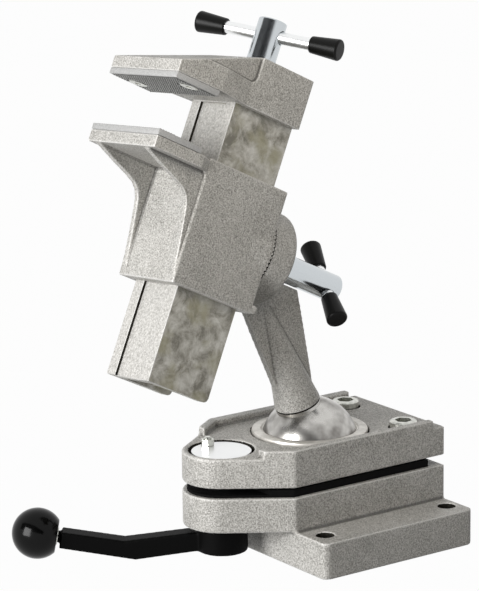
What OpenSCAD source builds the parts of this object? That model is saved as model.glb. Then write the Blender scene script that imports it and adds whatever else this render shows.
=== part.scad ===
// Universal vise: two-jaw vise head on a ball arm held in a lever-clamped bench base
// Sizes are in millimetres, Z is up, the nose of the base and the jaws face -Y
// The bench plane is z = 0 and the ball axis is x = y = 0

/* [Jaws] */
// Width of both jaws and pads
jaw_w = 70; // [62:1:80]
// Depth of a pad from its front edge to its rear edge
pad_d = 35.4; // [30:0.2:40]
// Thickness of a pad
pad_t = 4.7; // [4:0.1:6]
// Distance from the swivel face forward to the front edge of the pads
reach = 115.9; // [110:0.1:122]
// Opening between the pads as built
opening = 31.7; // [20:0.1:45]
// Thickness of the lower jaw plate
lower_jaw_t = 7.9; // [7:0.1:10]
// Height of the upper jaw at its tip
upper_tip_t = 7.8; // [7:0.1:10]
// Height of the upper jaw block at the back
upper_block_h = 32.5; // [29:0.5:36]
// Depth of the hollow on each side of the upper jaw
jaw_hollow = 2.2; // [1:0.1:4]
// Height of the lower end of that hollow over the upper pad
jaw_hollow_up = 15; // [10:0.5:18]
// Radius of the corner of that hollow
jaw_hollow_r = 5; // [2:0.5:7]
// Distance between the two screws of a pad
pad_screw_gap = 53; // [46:1:54]
// Thickness of the gussets under the lower jaw
rib_t = 4; // [3:0.5:6]
// Thread diameter of the pad screws
pad_screw_d = 6; // [5:0.5:8]
// Head diameter of the pad screws
pad_head_d = 11.8; // [10:0.1:12.6]
// Head height of the pad screws
pad_head_h = 3.15; // [2.8:0.05:3.6]
// Length of a pad screw below its pad
pad_screw_len = 5; // [4:0.5:5.5]

/* [Sleeve and bar] */
// Outside width of the sleeve and of the upper jaw block
sleeve_w = 57; // [55:0.5:60]
// Height of the sleeve
sleeve_h = 81; // [76:1:90]
// Distance from the swivel face to the front face of the sleeve
sleeve_front = 67; // [65:0.5:72]
// Width of the guide bar
bar_w = 44; // [40:0.5:45]
// Depth of the guide bar
bar_d = 49.6; // [46:0.2:50]
// Wall thickness of the guide bar sides
bar_wall = 6; // [4:0.5:8]
// Wall thickness of the guide bar front
bar_front_wall = 8; // [6:0.5:10]
// Depth of the sunk panel on the bar front
bar_panel_depth = 2; // [1:0.1:3]
// Width of the smooth band on each side of the panel
bar_band = 9; // [6:0.5:12]
// Length of bar below the sleeve as built
bar_below = 62; // [50:1:75]

/* [Spindle] */
// Thread diameter of the spindle
spindle_d = 16; // [12:1:18]
// Diameter of the chrome spindle head
spindle_head_d = 18.8; // [17:0.1:20]
// Height of the spindle head above the upper jaw
spindle_head_h = 31; // [28:0.5:36]
// Height of the tommy bar above the upper jaw
spindle_bar_up = 21.2; // [18:0.2:24]
// Distance from the bar front to the spindle axis
spindle_in = 26; // [22:0.5:30]
// Tommy bar diameter
tommy_d = 8; // [6:0.5:9]
// Overall length of the spindle tommy bar with caps
spindle_bar_len = 102; // [90:1:130]
// Overall length of the swivel tommy bar with caps
swivel_bar_len = 66.8; // [60:0.2:80]
// Length of a tommy bar cap
cap_len = 20.4; // [18:0.2:21]
// Large end diameter of a tommy bar cap
cap_d = 14.2; // [12:0.2:16]
// Diameter of the collar that keeps the spindle in the upper jaw
collar_d = 25; // [22:0.5:30]
// Thickness of the spindle collar
collar_t = 6; // [4:0.5:8]
// Small end diameter of a tommy bar cap
cap_neck_d = 10.9; // [9.5:0.1:12]

/* [Arm] */
// Ball diameter
ball_d = 65; // [60:0.5:65.5]
// Distance from the ball centre to the swivel elbow
neck_len = 141.5; // [130:0.5:160]
// Neck diameter beside the ball
neck_d = 30.4; // [28:0.2:32]
// Neck core diameter at its tip
neck_top_d = 5.2; // [4:0.2:8]
// Distance from the ball centre to the start of the neck taper
neck_straight = 33; // [32:0.5:40]
// Distance from the tip of the neck core to the elbow
core_drop = 33; // [28:0.5:40]
// Forward offset of the tip of the neck core
core_shift = 3.2; // [0:0.1:5]
// Thickness of the neck blade at its foot
blade_foot_t = 5.6; // [4:0.2:8]
// Thickness of the neck blade at the elbow
blade_t = 4.6; // [4:0.2:8]
// Diameter of the swivel disc
disc_d = 62; // [58:0.5:64]
// Thickness of the swivel disc
disc_t = 19.5; // [17:0.5:21]
// Radius of the rear edge of the swivel disc
disc_round = 2.5; // [1.5:0.1:4]
// Diameter of the swivel screw head
swivel_head_d = 18.4; // [17:0.1:19]
// Distance from the swivel face to the rear end of the swivel screw
swivel_reach = 80.7; // [78:0.1:95]
// Distance from the rear end of the swivel screw to its cross hole
swivel_hole_in = 7.9; // [6.5:0.1:14]
// Thread diameter of the swivel screw
swivel_screw_d = 14; // [10:1:16]

/* [Base] */
// Width of the mounting flange
flange_w = 157; // [150:1:170]
// Height of the mounting flange
flange_h = 24; // [20:0.5:28]
// Hole distance across the flange
hole_gap_x = 124; // [120:1:132]
// Hole distance along the flange
hole_gap_y = 100; // [90:1:104]
// Diameter of the flange holes
hole_d = 12; // [9:0.5:14]
// Width of the base block and clamp plate
block_w = 96; // [92:0.5:102]
// Height of the top of the base block
block_top = 47; // [46:0.5:50]
// Height of the underside of the clamp plate
plate_bottom = 53.7; // [53.5:0.1:56]
// Height of the top of the clamp plate
plate_top = 73.5; // [72.5:0.1:74]
// Height of the top of the side rims
rim_top = 78.7; // [76:0.1:82]
// Thickness of the side rims
rim_t = 5.5; // [4:0.5:7]
// Rear end of the castings behind the ball axis
rear_y = 75; // [73:0.5:80]
// Front of the flange before the ball axis
front_y = 47.4; // [46:0.2:52]
// Radius of the rounded nose
nose_r = 25.5; // [24:0.1:27]
// Clamp bolt axis before the ball axis
clamp_y = 71.2; // [69:0.2:78]
// Height of the ball centre
ball_z = 63.6; // [63.4:0.1:64.5]
// Outside diameter of the seat ring
ring_d = 76.8; // [75:0.2:79]
// Height of the top of the seat ring
ring_top = 75.3; // [74.5:0.1:77]
// Thickness of the liner in the gap
liner_t = 5; // [3:0.5:5.5]
// Distance from the side and front of the block to the liner
liner_inset = 3; // [2:0.5:6]
// Distance from the rear of the block to the liner
liner_rear = 11.5; // [8:0.5:14]
// Thickness of the liner round the clamp bolt
liner_nose_t = 1.6; // [1:0.1:3]
// Distance from the clamp bolt axis to the thick part of the liner
liner_bolt_gap = 12; // [9:0.5:16]
// Clearance of the liner round the ball and the screws
liner_clear = 2; // [1:0.5:4]

/* [Clamp] */
// Clamp bolt diameter
bolt_d = 12; // [10:1:16]
// Diameter of the polished bolt head
bolt_head_d = 39.2; // [36:0.2:39.6]
// Gap round the bolt head in its recess
bolt_head_gap = 1.7; // [1:0.1:2.5]
// Height of the top of the bolt head
bolt_head_top = 72.4; // [71.5:0.1:73]
// Lever hub diameter
hub_d = 33; // [30:0.5:36]
// Height of the underside of the hub
hub_bottom = 5.6; // [5:0.1:8]
// Distance from the hub axis to the knob centre
lever_len = 120; // [115:1:140]
// Distance from the hub axis to the bend of the lever
lever_bend = 60; // [50:1:70]
// Rise of the outer lever arm over its length
lever_slope = 0.172; // [0.1:0.001:0.2]
// Width of the lever arm
lever_w = 13; // [10:0.5:16]
// Ball knob diameter
knob_d = 33.4; // [28:0.2:34]
// Rear screw head diameter
rear_head_d = 18; // [16:0.5:20]
// Distance between the two rear screws
rear_screw_gap = 62.6; // [58:0.2:66]
// Rear screw row behind the ball axis
rear_screw_y = 53.6; // [53:0.2:60]

/* [Pose] */
// Forward lean of the neck as built in degrees
neck_lean = 18.3; // [10:0.1:25]
// Angle between the neck and the swivel axis in degrees
elbow = 45; // [42:0.5:50]
// Turn of the head about the swivel axis as built in degrees
swivel_rest = -5.7; // [-10:0.1:10]
// Lever angle as built in degrees from the nose toward -X
lever_rest = 36; // [15:1:40]
// Spindle tommy bar angle as built in degrees
spindle_bar_turn = 26.7; // [0:0.1:90]
// Swivel tommy bar angle as built in degrees
swivel_bar_turn = 43; // [0:0.1:90]
// Offset of the spindle tommy bar as built
spindle_bar_shift = 0; // [-10:0.5:10]
// Offset of the swivel tommy bar as built
swivel_bar_shift = -1.7; // [-3:0.1:3]

/* [Clearances] */
// Sliding clearance between bar and sleeve
slide_clear = 0.35; // [0.3:0.05:0.6]
// Running clearance of a shaft in its bore
run_clear = 0.08; // [0.05:0.01:0.1]
// Gap between two bodies that face each other
face_gap = 0.35; // [0.3:0.05:0.6]
// Gap between pieces of one body
rest_gap = 0.05; // [0.02:0.01:0.1]
// Radial clearance round the clamp bolt where it tilts
tilt_clear = 0.5; // [0.4:0.05:0.8]

/* [Hidden] */
$fn = 72;

ball_r = ball_d / 2;
disc_r = disc_d / 2;
disc_mid = 8.8;
tooth_h = 1;
tooth_back = face_gap / 2;
sleeve_back = 1.2;
boss_r = 30.5;
tboss_r = 13;
tboss_y = 30;
half_sleeve = sleeve_h / 2;
bar_front = sleeve_front - 9.6;
bar_back = bar_front - bar_d;
spindle_y = -(bar_front - spindle_in);
lower_seat = half_sleeve - 1.5;
lower_pad_top = lower_seat + pad_t;
upper_pad_low = lower_pad_top + opening;
upper_seat = upper_pad_low + pad_t;
block_low = upper_seat + 0.1;
block_high = block_low + upper_block_h;
block_front = bar_front - 6.8;
jaw_back = bar_back - 0.1;
socket_roof = block_high - 11.5;
bar_bottom = -(half_sleeve + bar_below);
pad_mid_y = -(reach - pad_d / 2);
nut_half = 12;
head_gap_r = spindle_head_d / 2;
hole_y_mid = (rear_y - front_y) / 2 + 1.7;
ring_r = ring_d / 2;
ring_flange_r = ring_r + 2.6;
lug_r = 2.6;
nose_blend = 0.06;
lever_end = lever_len - knob_d / 2 + 0.8;
lever_rise = atan(lever_slope);

module at_neck() translate([0, 0, ball_z]) rotate([neck_lean, 0, 0]) children();
module at_disc() at_neck() translate([0, 0, neck_len]) rotate([-elbow, 0, 0])
  translate([0, -disc_mid, 0]) children();
module at_head() at_disc() rotate([0, swivel_rest, 0]) children();
module at_clamp() translate([0, -clamp_y, 0]) children();
module at_lever() at_clamp() rotate([0, 0, 270 - lever_rest]) children();
module at_spindle() at_head() translate([0, spindle_y, 0]) children();

// Cylinder along Y from y0 to y1
module ycyl(r, y0, y1) translate([0, y0, 0]) rotate([-90, 0, 0]) cylinder(r = r, h = y1 - y0);
// Cylinder along X from x0 to x1
module xcyl(r, x0, x1) translate([x0, 0, 0]) rotate([0, 90, 0]) cylinder(r = r, h = x1 - x0);
// Side profile in Y and Z drawn out along X
module side(x0, x1) translate([x0, 0, 0]) rotate([90, 0, 90]) linear_extrude(height = x1 - x0) children();
// Upright box between two corners
module box(a, b) translate(a) cube([b[0] - a[0], b[1] - a[1], b[2] - a[2]]);
// Upright box with round vertical edges
module round_box(a, b, r) {
  box([a[0] + r, a[1], a[2]], [b[0] - r, b[1], b[2]]);
  box([a[0], a[1] + r, a[2]], [b[0], b[1] - r, b[2]]);
  for (x = [a[0] + r, b[0] - r], y = [a[1] + r, b[1] - r])
    translate([x, y, a[2]]) cylinder(r = r, h = b[2] - a[2]);
}
// Both sides of the part
module both() { children(); mirror([1, 0, 0]) children(); }

// Touching point on the nose circle of a line from the shoulder at half width w and depth d
function nose_angle(w, d, r) = atan2(clamp_y - d, w) - acos(r / norm([w, clamp_y - d]));
function nose_point(w, d, r) = [r * cos(nose_angle(w, d, r)), -clamp_y + r * sin(nose_angle(w, d, r))];

// Outline shared by the base block and the clamp plate
module nose_outline(w, d, r, rear) {
  p = nose_point(w, d, r);
  polygon([[-w, -d], [-p[0], p[1]], [p[0], p[1]], [w, -d], [w, rear], [-w, rear]]);
  translate([0, -clamp_y]) circle(r = r + nose_blend);
}

module base_casting() color("silver") difference() {
  union() {
    round_box([-flange_w / 2, -front_y, 0], [flange_w / 2, rear_y, flange_h], 5);
    translate([0, 0, flange_h]) linear_extrude(height = block_top - flange_h)
      nose_outline(block_w / 2, front_y, nose_r, rear_y);
    box([-block_w / 2 + 2, -front_y + 2, flange_h - 2], [block_w / 2 - 2, rear_y - 2, flange_h + 2]);
  }
  translate([0, 0, ball_z]) sphere(r = ball_r + run_clear);
  at_clamp() cylinder(r = bolt_d / 2 + tilt_clear, h = block_top + 1);
  for (x = [-1, 1] * rear_screw_gap / 2)
    translate([x, rear_screw_y, 18]) cylinder(r = 6 + rest_gap, h = block_top);
  for (x = [-1, 1] * hole_gap_x / 2, y = [-1, 1] * hole_gap_y / 2) translate([x, hole_y_mid + y, -1])
    cylinder(r = hole_d / 2, h = flange_h + 2);
}

module gap_liner() color("black") difference() {
  translate([0, 0, block_top + rest_gap])
    linear_extrude(height = liner_t) nose_outline(block_w / 2 - liner_inset,
    front_y - liner_inset * 0.36, nose_r - liner_inset, rear_y - liner_rear);
  at_clamp() box([-block_w, -nose_r, block_top + rest_gap + liner_nose_t],
    [block_w, liner_bolt_gap, block_top + liner_t + 2]);
  at_clamp() translate([0, 0, block_top - 1]) cylinder(r = bolt_d / 2 + liner_clear, h = liner_t + 3);
  translate([0, 0, block_top - 1]) cylinder(r = ball_r + liner_clear, h = liner_t + 3);
  for (x = [-1, 1] * rear_screw_gap / 2) translate([x, rear_screw_y, block_top - 1])
    cylinder(r = 6 + liner_clear, h = liner_t + 3);
}

module rear_screws() color("gainsboro") for (x = [-1, 1] * rear_screw_gap / 2) translate([x, rear_screw_y, 0])
  difference() {
    union() {
      translate([0, 0, plate_top - 7.8]) cylinder(r = rear_head_d / 2, h = 12);
      translate([0, 0, 20]) cylinder(r = 6, h = plate_top - 27);
    }
    translate([0, 0, plate_top - 1.8]) cylinder(r = 5.77, h = 8, $fn = 6);
  }

module clamp_plate() color("silver") difference() {
  union() {
    translate([0, 0, plate_bottom]) linear_extrude(height = plate_top - plate_bottom)
      nose_outline(block_w / 2, front_y, nose_r, rear_y);
    translate([0, 0, plate_top - 1]) linear_extrude(height = rim_top - plate_top + 1) rim_outline();
  }
  translate([0, 0, plate_bottom - 1]) cylinder(r = ring_r + face_gap + 0.1, h = 30);
  translate([0, 0, plate_bottom - 1]) cylinder(r = ring_flange_r + face_gap + 0.1, h = 6.2);
  at_clamp() translate([0, 0, plate_bottom - 1]) cylinder(r = bolt_d / 2 + rest_gap, h = 30);
  at_clamp() translate([0, 0, bolt_head_top - 6 - rest_gap])
    cylinder(r = bolt_head_d / 2 + bolt_head_gap, h = 20);
  at_clamp() translate([-15.3, 0, plate_bottom + 4]) cylinder(r = 2.5 + rest_gap, h = 20);
  for (x = [-1, 1] * rear_screw_gap / 2) translate([x, rear_screw_y, plate_bottom - 1]) {
    cylinder(r = 6.6, h = 20);
    translate([0, 0, plate_top - 7.8 - face_gap - plate_bottom + 1])
      cylinder(r = rear_head_d / 2 + 0.8, h = 20);
  }
}

// Rims along both sides that wrap onto the nose flats
module rim_outline() intersection() {
  difference() {
    nose_outline(block_w / 2, front_y, nose_r, rear_y);
    nose_outline(block_w / 2 - rim_t, front_y - rim_t * 0.36, nose_r - rim_t, rear_y + 1);
  }
  union() {
    translate([28, -63.5]) square([40, 63.5 + rear_y - 9]);
    translate([-68, -63.5]) square([40, 63.5 + rear_y - 9]);
  }
}

module clamp_bolt() color("white") at_clamp() difference() {
  union() {
    translate([0, 0, bolt_head_top - 6]) cylinder(r = bolt_head_d / 2, h = 6);
    translate([0, 0, hub_bottom + 1]) cylinder(r = bolt_d / 2, h = bolt_head_top - hub_bottom - 3);
  }
  translate([-15.3, 0, bolt_head_top - 7]) cylinder(r = 2.5 + rest_gap, h = 9);
}

module lock_stud() color("gainsboro") at_clamp() translate([-15.3, 0, plate_bottom + 4.2])
  cylinder(r = 2.5, h = bolt_head_top + 5.6 - plate_bottom - 4.2);

module lock_nut() color("gainsboro") at_clamp() translate([-15.3, 0, bolt_head_top + rest_gap]) difference() {
  cylinder(r = 4.62, h = 4, $fn = 6);
  translate([0, 0, -1]) cylinder(r = 2.5 + rest_gap, h = 6);
}

// Height of the lever arm centre at distance s from the hub axis
function lever_z(s) = 11.7 - (min(s, lever_bend) - 19) * 0.11 + max(0, s - lever_bend) * lever_slope;

module clamp_lever() color("#202020") at_lever() difference() {
  union() {
    translate([0, 0, hub_bottom]) cylinder(r = hub_d / 2, h = flange_h - face_gap - hub_bottom);
    rotate([90, 0, 0]) translate([0, 0, -lever_w / 2]) linear_extrude(height = lever_w) polygon([
      [5, 18.6], [22, 18.4], [lever_bend + 3.5, lever_z(lever_bend + 3.5) + 5.6],
      [lever_end, lever_z(lever_end) + 5], [lever_end + 1.9, lever_z(lever_end) - 5.9],
      [lever_bend - 3.5, lever_z(lever_bend) - 6.6], [17, hub_bottom + 0.4], [5, hub_bottom + 0.4]]);
    translate([lever_end - 2, 0, lever_z(lever_end - 2)])
      rotate([0, -lever_rise, 0]) xcyl(3.9, 0, lever_len - lever_end + 1);
  }
  translate([0, 0, -1]) cylinder(r = bolt_d / 2 + tilt_clear, h = 30);
}

module ball_knob() color("black") at_lever() translate([lever_len, 0, lever_z(lever_len)]) rotate([0, -lever_rise, 0]) difference() {
  rotate([0, 90, 0]) rotate_extrude() intersection() {
    circle(r = knob_d / 2);
    translate([0, -knob_d / 2 + 3.8]) square([knob_d, knob_d]);
  }
  xcyl(3.9 + rest_gap, -20, 1);
}

module seat_ring() color("lightgray") difference() {
  union() {
    translate([0, 0, plate_bottom + 0.8]) cylinder(r = ring_flange_r, h = 3.4);
    translate([0, 0, plate_bottom + 0.8]) cylinder(r = ring_r, h = ring_top - plate_bottom - 0.8);
  }
  translate([0, 0, ball_z]) sphere(r = ball_r + run_clear);
}

module ball_arm() color("lightgray") {
  difference() {
    union() {
      at_neck() {
        sphere(r = ball_r);
        translate([0, 0, ball_r - 10]) cylinder(r = neck_d / 2, h = neck_straight - ball_r + 10.01);
        hull() {
          translate([0, 0, neck_straight]) cylinder(r = neck_d / 2, h = 0.01);
          translate([0, -core_shift, neck_len - core_drop]) cylinder(r = neck_top_d / 2, h = 0.01);
        }
        neck_blade();
      }
      at_disc() {
        ycyl(disc_r, tooth_back + tooth_h, disc_t - disc_round);
        ycyl(disc_r - disc_round, tooth_back + tooth_h, disc_t);
        ycyl(disc_r, tooth_back, tooth_back + tooth_h + 0.5);
        translate([0, disc_t - disc_round, 0]) rotate([-90, 0, 0]) rotate_extrude()
          translate([disc_r - disc_round, 0])
          circle(r = disc_round);
        ycyl(tboss_r, disc_t - 1, tboss_y);
      }
    }
    at_disc() {
      ycyl(swivel_screw_d / 2 + 0.4, -30, tboss_y + 20);
      ycyl(21, -10, tooth_back + tooth_h);
      translate([0, -40, 0]) ycyl(disc_r + 8, 0, 40 + tooth_back);
      ycyl(swivel_head_d / 2 + 1, tboss_y, swivel_reach);
    }
  }
}

// Blade of the neck, a web before and behind the core that widens toward the disc
module neck_blade() intersection() {
  side(-20, 20) polygon([[-12.4, neck_straight + 5], [-18.6, neck_len - 43], [-19.4, neck_len - 33.5],
    [-19.6, neck_len - 25], [-6, neck_len + 2], [16, neck_len + 2], [24, neck_len - 18],
      [23.2, neck_len - 37.5],
    [15, neck_straight + 14], [13.2, neck_straight + 5]]);
  rotate([90, 0, 0]) translate([0, 0, -40]) linear_extrude(height = 80) polygon([
    [-blade_foot_t / 2, neck_straight + 2], [blade_foot_t / 2, neck_straight + 2],
      [blade_t / 2, neck_len - 29],
    [blade_t / 2, neck_len + 3], [-blade_t / 2, neck_len + 3], [-blade_t / 2, neck_len - 29]]);
}

module swivel_screw() color("white") at_head() difference() {
  union() {
    ycyl(swivel_head_d / 2, tboss_y + face_gap, swivel_reach);
    ycyl(swivel_screw_d / 2, -17, tboss_y + 2);
  }
  translate([0, swivel_reach - swivel_hole_in, 0]) rotate([0, swivel_bar_turn, 0])
    xcyl(tommy_d / 2 + run_clear, -20, 20);
}

// Tommy bar along X with its middle at the origin, shorter than the caps by their end walls
module tommy(len) xcyl(tommy_d / 2, -len / 2 + 4, len / 2 - 4);
module caps(len) both() translate([len / 2 - cap_len, 0, 0]) difference() {
  rotate([0, 90, 0]) cylinder(r1 = cap_neck_d / 2, r2 = cap_d / 2, h = cap_len);
  xcyl(tommy_d / 2 + rest_gap, -1, cap_len - 4 + rest_gap);
}

module at_swivel_bar() at_head()
  translate([0, swivel_reach - swivel_hole_in, 0]) rotate([0, swivel_bar_turn, 0])
  translate([swivel_bar_shift, 0, 0]) children();
module swivel_bar() color("white") at_swivel_bar() tommy(swivel_bar_len);
module swivel_caps() color("black") at_swivel_bar() caps(swivel_bar_len);

module jaw_body() color("silver") at_head() difference() {
  union() {
    box([-sleeve_w / 2, -sleeve_front, -half_sleeve], [sleeve_w / 2, -sleeve_back, half_sleeve]);
    translate([0, 0, lower_seat - lower_jaw_t]) linear_extrude(height = lower_jaw_t) polygon([
      [-jaw_w / 2, -reach], [jaw_w / 2, -reach], [jaw_w / 2, -sleeve_front - 10],
      [sleeve_w / 2 - 0.5, -sleeve_front + 0.5], [0.5 - sleeve_w / 2, -sleeve_front + 0.5],
        [-jaw_w / 2, -sleeve_front - 10]]);
    both() side(sleeve_w / 2 - 1.2 - rib_t, sleeve_w / 2 - 1.2) rib_profile();
    ycyl(boss_r, -sleeve_back - 1, -tooth_back);
    both() translate([0, 0.6, -half_sleeve + 3.3]) xcyl(lug_r, sleeve_w / 2 - 8, sleeve_w / 2);
  }
  box([-bar_w / 2 - slide_clear, -bar_front - slide_clear, -half_sleeve - 1],
    [bar_w / 2 + slide_clear, -bar_back + slide_clear, half_sleeve + 1]);
  ycyl(swivel_screw_d / 2 + run_clear, -bar_back - 5, 5);
  ycyl(21, -tooth_back - tooth_h, 5);
  for (x = [-1, 1] * pad_screw_gap / 2) translate([x, pad_mid_y, lower_seat - lower_jaw_t + 1.5])
    cylinder(r = pad_screw_d / 2 + rest_gap, h = 20);
}

// Gusset side profile with its hollow front edge
module rib_profile() polygon([[-sleeve_front + 1, lower_seat - lower_jaw_t + 1],
  [-reach + 2, lower_seat - lower_jaw_t + 1],
  [-reach + 2, lower_seat - lower_jaw_t - 1], [-reach + 15, lower_seat - lower_jaw_t - 6.3],
  [-sleeve_front - 19, lower_seat - lower_jaw_t - 11.7],
    [-sleeve_front - 13, lower_seat - lower_jaw_t - 14.5],
  [-sleeve_front - 9.2, lower_seat - lower_jaw_t - 18],
    [-sleeve_front - 7, lower_seat - lower_jaw_t - 22.5],
  [-sleeve_front - 5.5, lower_seat - lower_jaw_t - 30],
    [-sleeve_front - 2.4, lower_seat - lower_jaw_t - 50],
  [-sleeve_front, -half_sleeve + 2], [-sleeve_front + 1, -half_sleeve + 2]]);

module spindle_nut() color("goldenrod") at_head() difference() {
  box([-nut_half, spindle_y - 9.8, -nut_half], [nut_half, -bar_back + slide_clear - rest_gap, nut_half]);
  translate([0, spindle_y, -20]) cylinder(r = spindle_d / 2 + run_clear, h = 40);
  ycyl(swivel_screw_d / 2 + run_clear, -18, 5);
}

module pad(low, face) difference() {
  box([-jaw_w / 2, -reach, low], [jaw_w / 2, -reach + pad_d, low + pad_t]);
  for (x = [-1, 1] * pad_screw_gap / 2)
    translate([x, pad_mid_y, low + (face > 0 ? 0 : pad_t)]) mirror([0, 0, face > 0 ? 0 : 1]) {
    translate([0, 0, -1]) cylinder(r = pad_screw_d / 2 + rest_gap, h = pad_t + 2);
    translate([0, 0, pad_t - pad_head_h - rest_gap])
      cylinder(r1 = pad_screw_d / 2, r2 = pad_head_d / 2 + 0.5, h = pad_head_h + 0.25);
  }
}

// Countersunk pad screws with the head face at height top, pointing down when face is 1
module pad_screws(top, face) for (x = [-1, 1] * pad_screw_gap / 2)
  translate([x, pad_mid_y, top]) mirror([0, 0, face > 0 ? 0 : 1])
  difference() {
    union() {
      translate([0, 0, -pad_head_h - 0.25])
        cylinder(r1 = pad_screw_d / 2 - 0.25, r2 = pad_head_d / 2, h = pad_head_h);
      translate([0, 0, -pad_t - pad_screw_len])
        cylinder(r = pad_screw_d / 2, h = pad_t + pad_screw_len - pad_head_h + 0.35);
    }
    translate([0, 0, 0.55 - pad_head_h]) cylinder(r = pad_screw_d * 0.385, h = 4, $fn = 6);
  }

module lower_pad() color("gainsboro") at_head() pad(lower_seat + rest_gap, 1);
module lower_pad_screws() color("gray") at_head() pad_screws(lower_pad_top + rest_gap, 1);
module upper_pad() color("gainsboro") at_head() pad(upper_pad_low - rest_gap, -1);
module upper_pad_screws() color("gray") at_head() pad_screws(upper_pad_low - rest_gap, -1);

module sliding_jaw() color("silver") at_head() difference() {
  union() {
    intersection() {
      side(-jaw_w / 2 - 1, jaw_w / 2 + 1) polygon([[-reach, upper_seat], [-reach, upper_seat + upper_tip_t],
        [-block_front, block_high], [-jaw_back, block_high], [-jaw_back, upper_seat]]);
      translate([0, 0, upper_seat - 1]) linear_extrude(height = upper_block_h + 5) polygon([
        [-jaw_w / 2, -reach], [jaw_w / 2, -reach], [jaw_w / 2, -reach + pad_d + 1],
        [sleeve_w / 2, -block_front - 4], [sleeve_w / 2, -jaw_back], [-sleeve_w / 2, -jaw_back],
        [-sleeve_w / 2, -block_front - 4], [-jaw_w / 2, -reach + pad_d + 1]]);
    }
  }
  both() difference() {
    translate([0, 0, upper_seat + jaw_hollow_up])
      linear_extrude(height = upper_block_h) polygon([[jaw_w / 2 + 1, -reach + 12],
      [jaw_w / 2, -reach + 12], [sleeve_w / 2 - jaw_hollow, -block_front], [jaw_w / 2 + 1, -block_front]]);
    translate([0, -block_front, upper_seat + jaw_hollow_up]) side(0, jaw_w) difference() {
      translate([-jaw_hollow_r, -1]) square([jaw_hollow_r + 1, jaw_hollow_r + 1]);
      translate([-jaw_hollow_r, jaw_hollow_r]) circle(r = jaw_hollow_r);
    }
  }
  box([-bar_w / 2 - rest_gap, -bar_front - rest_gap, upper_seat - 2],
    [bar_w / 2 + rest_gap, -jaw_back + 2, socket_roof]);
  translate([0, spindle_y, socket_roof - 1]) cylinder(r = spindle_d / 2 + run_clear, h = 40);
  for (x = [-1, 1] * pad_screw_gap / 2) translate([x, pad_mid_y, upper_seat - 1])
    cylinder(r = pad_screw_d / 2 + rest_gap, h = pad_screw_len + 1.4);
}

module guide_bar() color("darkgray") at_head() difference() {
  box([-bar_w / 2, -bar_front, bar_bottom], [bar_w / 2, -bar_back, socket_roof - rest_gap]);
  box([-bar_w / 2 + bar_wall, -bar_front + bar_front_wall, bar_bottom - 1],
    [bar_w / 2 - bar_wall, -bar_back + 1, socket_roof + 1]);
  box([-bar_w / 2 + bar_band, -bar_front - 1, bar_bottom - 1],
    [bar_w / 2 - bar_band, -bar_front + bar_panel_depth, upper_seat - 0.5]);
  translate([0, -bar_back, bar_bottom]) side(-bar_w, bar_w) difference() {
    translate([-4, -1]) square([5, 5]);
    translate([-4, 4]) circle(r = 4);
  }
}

module spindle() color("white") at_spindle() difference() {
  union() {
    translate([0, 0, block_high + face_gap]) cylinder(r = head_gap_r, h = spindle_head_h - face_gap);
    translate([0, 0, bar_bottom + 17]) cylinder(r = spindle_d / 2, h = block_high + 1 - bar_bottom - 17);
  }
  translate([0, 0, block_high + spindle_bar_up])
    rotate([0, 0, spindle_bar_turn]) xcyl(tommy_d / 2 + run_clear, -20, 20);
}

module spindle_collar() color("gray") at_spindle() translate([0, 0, socket_roof - face_gap - collar_t]) difference() {
  cylinder(r = collar_d / 2, h = collar_t);
  translate([0, 0, -1]) cylinder(r = spindle_d / 2 + rest_gap, h = collar_t + 2);
}

module at_spindle_bar() at_spindle()
  translate([0, 0, block_high + spindle_bar_up]) rotate([0, 0, spindle_bar_turn])
  translate([spindle_bar_shift, 0, 0]) children();
module spindle_bar() color("white") at_spindle_bar() tommy(spindle_bar_len);
module spindle_caps() color("black") at_spindle_bar() caps(spindle_bar_len);

base_casting();
gap_liner();
rear_screws();
clamp_plate();
clamp_bolt();
lock_stud();
lock_nut();
clamp_lever();
ball_knob();
seat_ring();
ball_arm();
swivel_screw();
swivel_bar();
swivel_caps();
jaw_body();
spindle_nut();
lower_pad();
lower_pad_screws();
sliding_jaw();
guide_bar();
upper_pad();
upper_pad_screws();
spindle();
spindle_collar();
spindle_bar();
spindle_caps();
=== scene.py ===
import math

import bmesh
import bpy
from mathutils import Matrix, Vector


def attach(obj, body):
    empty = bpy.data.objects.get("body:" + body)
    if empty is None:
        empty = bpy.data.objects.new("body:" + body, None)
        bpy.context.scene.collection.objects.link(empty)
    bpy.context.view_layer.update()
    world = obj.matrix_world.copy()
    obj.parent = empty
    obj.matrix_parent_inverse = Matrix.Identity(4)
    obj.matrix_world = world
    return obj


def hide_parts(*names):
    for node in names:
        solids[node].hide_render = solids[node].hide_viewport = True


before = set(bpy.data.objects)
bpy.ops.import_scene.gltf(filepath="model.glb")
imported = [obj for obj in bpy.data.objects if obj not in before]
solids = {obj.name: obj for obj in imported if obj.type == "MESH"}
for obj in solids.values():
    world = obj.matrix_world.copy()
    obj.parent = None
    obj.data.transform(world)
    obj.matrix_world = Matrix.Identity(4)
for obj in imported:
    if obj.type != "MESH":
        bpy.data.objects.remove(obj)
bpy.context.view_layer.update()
scene = bpy.context.scene
print("frame loaded, solids:", len(solids))

mm = 0.001


def turned(axis, degrees):
    return Matrix.Rotation(math.radians(degrees), 4, axis)


def moved(x, y, z):
    return Matrix.Translation((x * mm, y * mm, z * mm))


# the places that the vise is drawn from, with the same values as the solids
ballFrame = moved(0, 0, 63.6)
neckFrame = ballFrame @ turned("X", 18.3)
discFrame = neckFrame @ moved(0, 0, 141.5) @ turned("X", -45) @ moved(0, -8.8, 0)
headFrame = discFrame @ turned("Y", -5.7)
spindleFrame = headFrame @ moved(0, -31.4, 0)
clampFrame = moved(0, -71.2, 0)
leverFrame = clampFrame @ turned("Z", 270 - 36)
alongX = turned("Y", 90)  # a piece drawn along Z is laid along X
alongY = turned("X", -90)  # and this one along Y

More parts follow.
